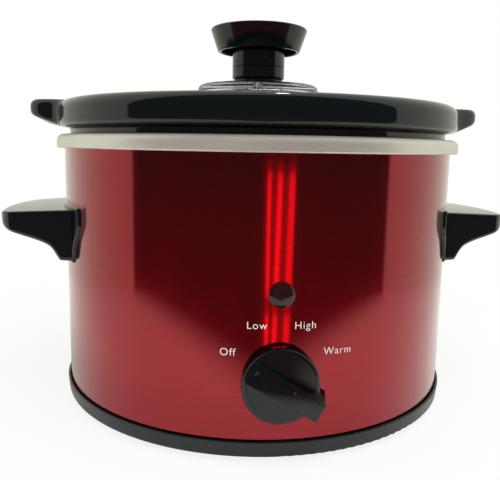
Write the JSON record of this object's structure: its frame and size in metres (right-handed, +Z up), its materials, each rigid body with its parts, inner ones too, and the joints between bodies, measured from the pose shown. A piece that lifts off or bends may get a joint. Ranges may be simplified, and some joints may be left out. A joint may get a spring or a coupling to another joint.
{
  "type": "slow cooker",
  "caption": "Small round slow cooker: red painted steel body with moulded side handles, loose black stoneware crock, glass lid with a knob, and a rotary control on the front.",
  "frame": {"origin": "on the cooker's vertical axis, at the underside of the base; the feet reach 2 mm lower", "axes": "+Z up, X along the line through the two side handles with +X at the right when the control is faced, -Y out of the front where the control is"},
  "size_m": [0.239, 0.2011, 0.1737],
  "materials": {
    "wrap_paint": "glossy metallic red over fine horizontal brushing",
    "base_plastic": "satin black moulding",
    "foot_rubber": "matt",
    "rim_steel": "satin",
    "well_aluminium": "plain spun",
    "band_fabric": "woven glass fibre",
    "hardware_steel": "zinc plated",
    "fuse_metal": "plain",
    "inner_plastic": "matt black moulding",
    "block_ceramic": "unglazed white steatite",
    "terminal_brass": "plain",
    "crock_glaze": "glossy black glaze",
    "lid_glass": "clear",
    "seal_rubber": "translucent silicone",
    "black_plastic": "glossy black moulding",
    "lens_plastic": "clear dark red",
    "lamp_glass": "clear glass"
  },
  "bodies": {
    "body": {"base_pan": "base_plastic", "feet": "foot_rubber", "outer_wrap": "wrap_paint", "rim_ring": "rim_steel", "heating_well": "well_aluminium", "heating_band": "band_fabric", "band_clamps": "hardware_steel", "clamp_bolts": "hardware_steel", "thermal_fuse": "fuse_metal", "fuse_clip": "hardware_steel", "tie_bolt": "hardware_steel", "tie_washer": "hardware_steel", "tie_nut": "hardware_steel", "cord_gland": "inner_plastic", "terminal_block": "block_ceramic", "terminal_screw": "terminal_brass", "right_handle": "black_plastic", "left_handle": "black_plastic", "handle_washers": "hardware_steel", "handle_screws": "hardware_steel", "switch_seat": "inner_plastic", "rotary_switch": "inner_plastic", "switch_nut": "terminal_brass", "lamp_lens": "lens_plastic", "neon_lamp": "lamp_glass", "lamp_retainer": "hardware_steel"},
    "crock": {"crock": "crock_glaze"},
    "lid": {"lid_glass": "lid_glass", "lid_knob_collar": "black_plastic", "lid_knob_stem": "black_plastic", "lid_knob": "black_plastic", "lid_gasket": "seal_rubber", "lid_washer": "hardware_steel", "lid_screw": "hardware_steel"},
    "control": {"control_knob": "black_plastic", "switch_shaft": "terminal_brass"}
  },
  "joints": [
    {"name": "crock_lift", "type": "slide", "parent": "body", "child": "crock", "axis": [0, 0, 1], "range_m": [0, 0.1]},
    {"name": "lid_lift", "type": "slide", "parent": "crock", "child": "lid", "axis": [0, 0, 1], "range_m": [0, 0.05]},
    {"name": "control_turn", "type": "hinge", "parent": "body", "child": "control", "pos_m": [0, -0.092, 0.0294], "axis": [0, 1, 0], "range_deg": [0, 120]}
  ]
}
